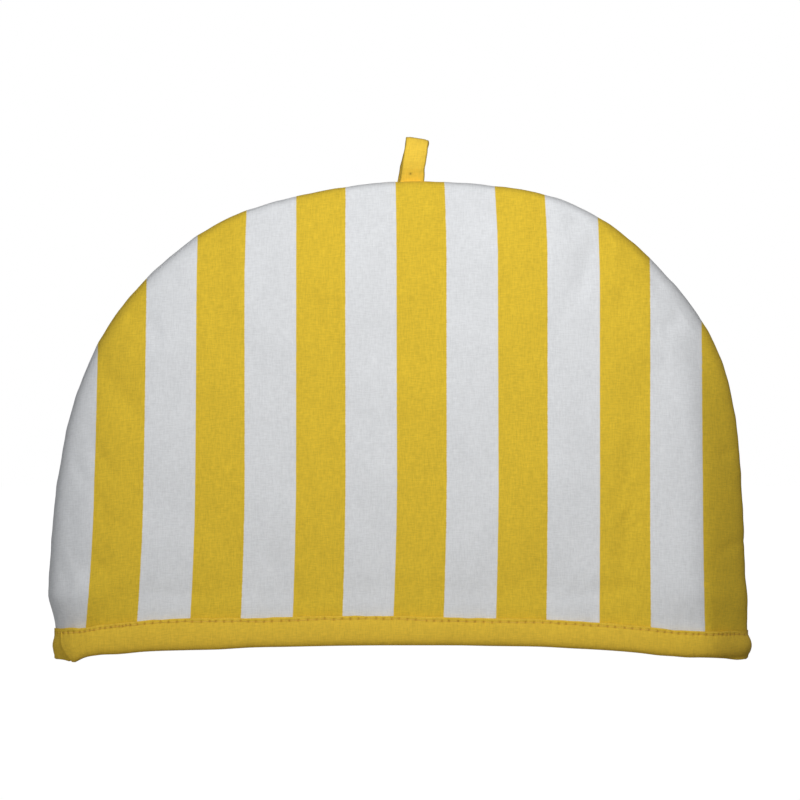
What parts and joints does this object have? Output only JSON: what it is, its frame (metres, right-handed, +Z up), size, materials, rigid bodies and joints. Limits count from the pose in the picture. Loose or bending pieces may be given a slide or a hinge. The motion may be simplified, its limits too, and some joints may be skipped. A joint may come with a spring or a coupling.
{
  "type": "tea cosy",
  "caption": "Padded half-moon tea cosy of striped cotton, open underneath, with a bound hem and a hanging loop on the crown.",
  "frame": {"origin": "under the middle of the hem, on the surface the cosy stands on", "axes": "+Z up through the crown, -Y out of the front panel, +X to the right of someone facing the front"},
  "size_m": [0.3457, 0.067, 0.2572],
  "materials": {
    "striped_cotton": "plain-weave cotton, white with broad yellow stripes, over wadding",
    "yellow_cotton": "plain yellow plain-weave cotton strip, folded"
  },
  "bodies": {
    "root": {"panel_front": "striped_cotton", "panel_back": "striped_cotton", "hem_binding": "yellow_cotton", "hanging_loop": "yellow_cotton"}
  },
  "joints": []
}
